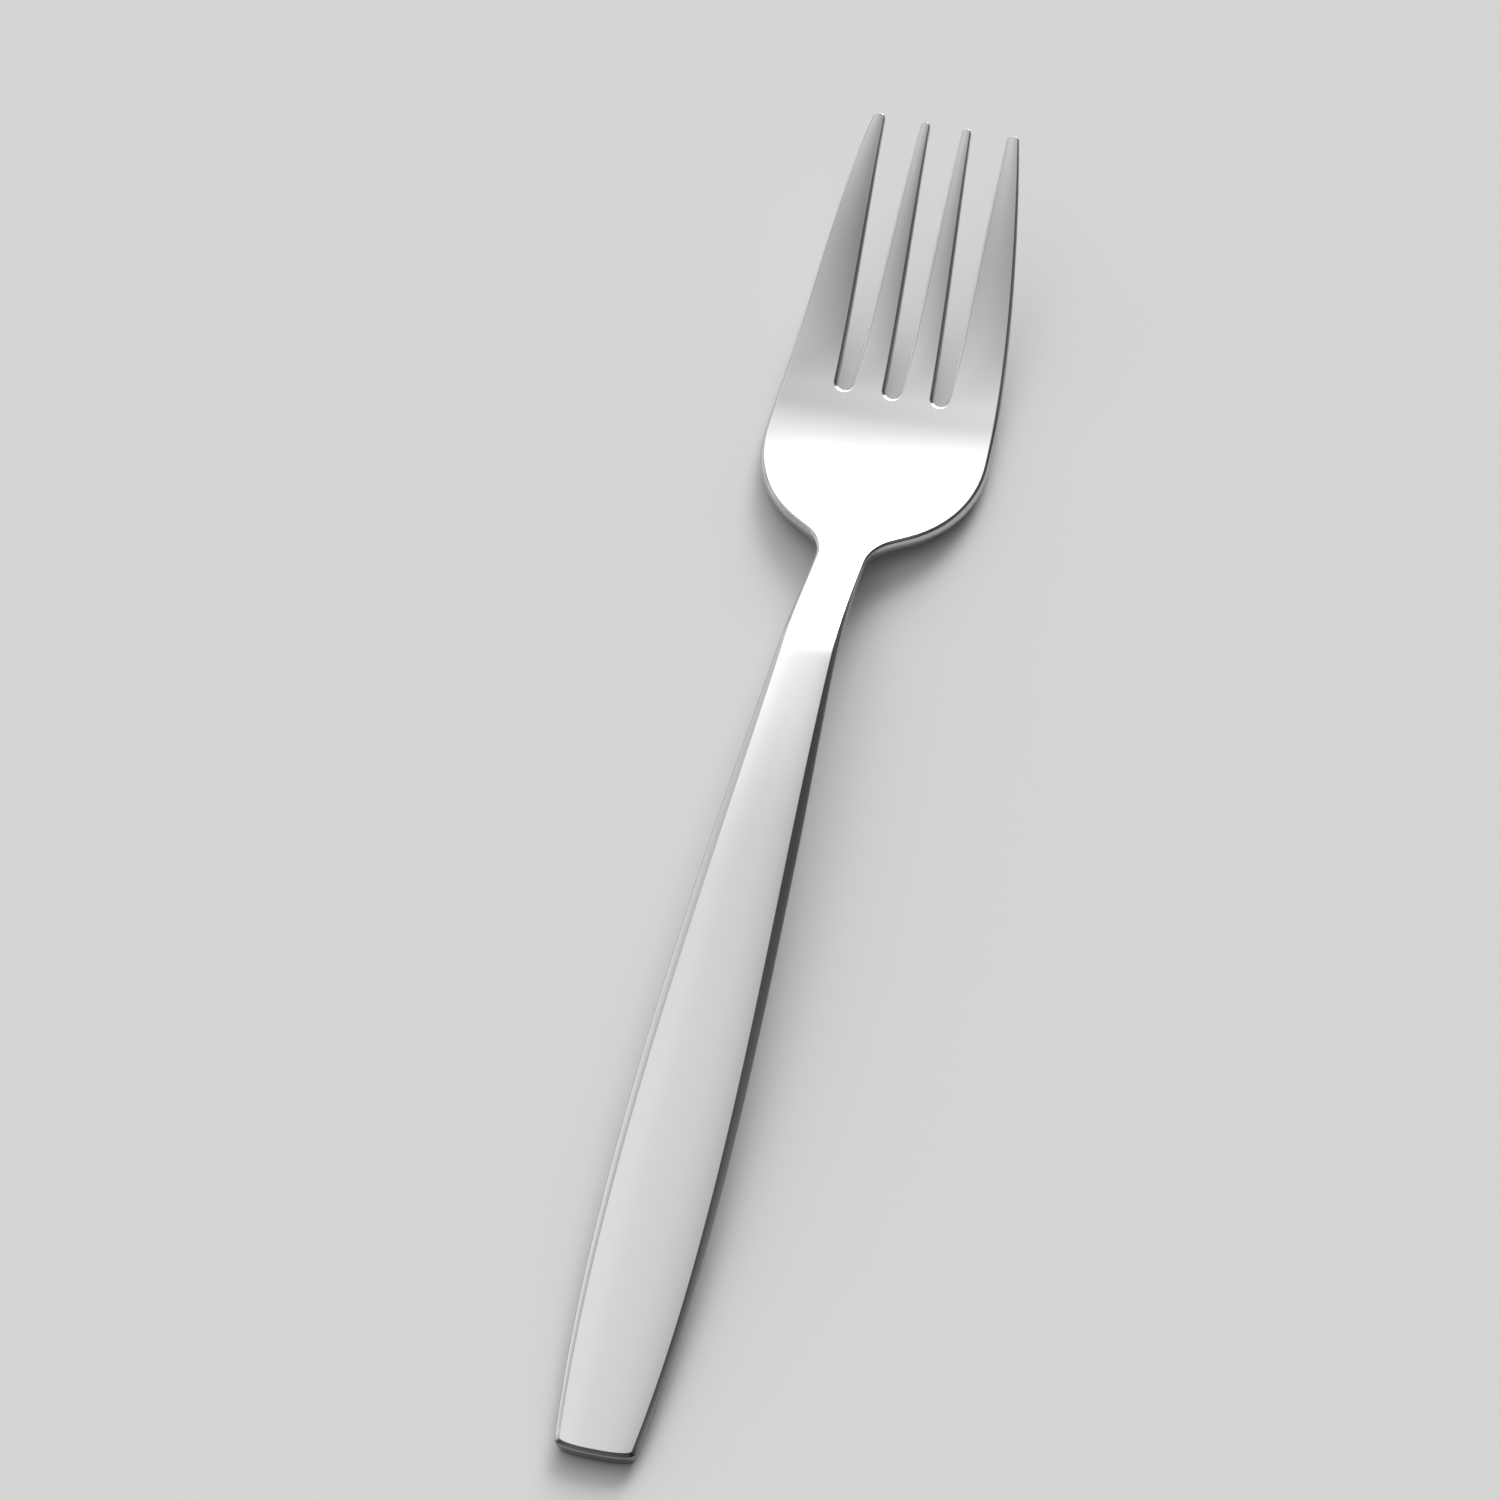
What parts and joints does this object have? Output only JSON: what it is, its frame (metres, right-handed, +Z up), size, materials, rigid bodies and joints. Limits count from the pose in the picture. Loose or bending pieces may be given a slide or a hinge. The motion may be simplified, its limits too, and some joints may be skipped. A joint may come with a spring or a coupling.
{
  "type": "dessert fork",
  "caption": "Slim one-piece polished steel dessert fork with a tapered flat handle, a narrow arched neck, round shoulders and straight pointed tines.",
  "frame": {"origin": "on the table under the middle of the fork's length and width, with the fork lying on its back", "axes": "+X across the fork to its right seen from the handle, +Y along the fork towards the tips of the tines, +Z up"},
  "size_m": [0.026, 0.171, 0.015],
  "materials": {
    "steel": "polished"
  },
  "bodies": {
    "root": {"handle": "steel", "neck": "steel", "head_root": "steel", "outer_tine_left": "steel", "inner_tine_left": "steel", "inner_tine_right": "steel", "outer_tine_right": "steel"}
  },
  "joints": []
}
